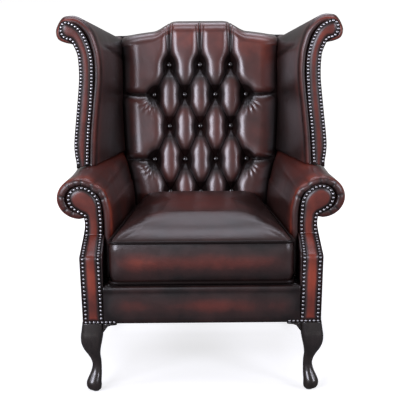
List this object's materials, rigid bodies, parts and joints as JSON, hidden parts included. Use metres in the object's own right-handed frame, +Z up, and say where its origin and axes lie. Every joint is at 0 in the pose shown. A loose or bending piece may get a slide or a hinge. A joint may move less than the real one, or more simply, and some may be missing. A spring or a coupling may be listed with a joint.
{
  "type": "wingback chair",
  "caption": "High-backed leather wing armchair with a diamond-buttoned back, scrolled wings and arms, studded facings, a loose piped seat cushion and cabriole front legs.",
  "frame": {"origin": "on the floor under the middle of the chair's overall box", "axes": "+Z up, -Y towards the front of the chair, +X to the right as seen from the front"},
  "size_m": [0.866, 0.7778, 1.0801],
  "materials": {
    "leather": "glossy rub-off leather, red-brown over near-black",
    "dark_leather": "glossy dark leather",
    "stained_wood": "near-black stain under satin lacquer",
    "frame_wood": "raw planed hardwood",
    "nickel": "antique nickel",
    "cloth": "matt black cloth",
    "jute": "woven webbing"
  },
  "bodies": {
    "chair": {"front_left_leg": "stained_wood", "front_right_leg": "stained_wood", "rear_left_leg": "stained_wood", "rear_right_leg": "stained_wood", "left_knee_blocks": "stained_wood", "right_knee_blocks": "stained_wood", "foot_glides": "nickel", "leg_bolts": "nickel", "front_rail": "frame_wood", "rear_rail": "frame_wood", "left_side_rail": "frame_wood", "right_side_rail": "frame_wood", "corner_blocks": "frame_wood", "left_arm_post": "frame_wood", "right_arm_post": "frame_wood", "left_arm_rail": "frame_wood", "right_arm_rail": "frame_wood", "left_back_post": "frame_wood", "right_back_post": "frame_wood", "back_top_rail": "frame_wood", "back_lower_rail": "frame_wood", "left_wing_board": "frame_wood", "right_wing_board": "frame_wood", "left_wing_rail": "frame_wood", "right_wing_rail": "frame_wood", "seat_webbing": "jute", "back_webbing": "jute", "deck_pad": "cloth", "deck_cover": "dark_leather", "front_border": "leather", "dust_cover": "cloth", "inside_back": "leather", "back_buttons": "dark_leather", "outside_back": "leather", "left_arm_roll": "leather", "right_arm_roll": "leather", "left_inside_arm": "leather", "right_inside_arm": "leather", "left_outside_arm": "leather", "right_outside_arm": "leather", "left_arm_facing": "leather", "right_arm_facing": "leather", "left_inside_wing": "leather", "right_inside_wing": "leather", "left_outside_wing": "leather", "right_outside_wing": "leather", "left_wing_facing": "leather", "right_wing_facing": "leather", "left_arm_nails": "nickel", "right_arm_nails": "nickel", "left_wing_nails": "nickel", "right_wing_nails": "nickel", "back_nails": "nickel"},
    "cushion": {"seat_cushion": "leather", "cushion_top_piping": "dark_leather", "cushion_bottom_piping": "dark_leather", "cushion_zip": "dark_leather"},
    "slider": {"zip_slider": "nickel"}
  },
  "joints": [
    {"name": "cushion_lift", "type": "slide", "parent": "chair", "child": "cushion", "axis": [0, 0, 1], "range_m": [0, 0.2]},
    {"name": "zip_slide", "type": "slide", "parent": "cushion", "child": "slider", "axis": [1, 0, 0], "range_m": [0, 0.353]}
  ]
}
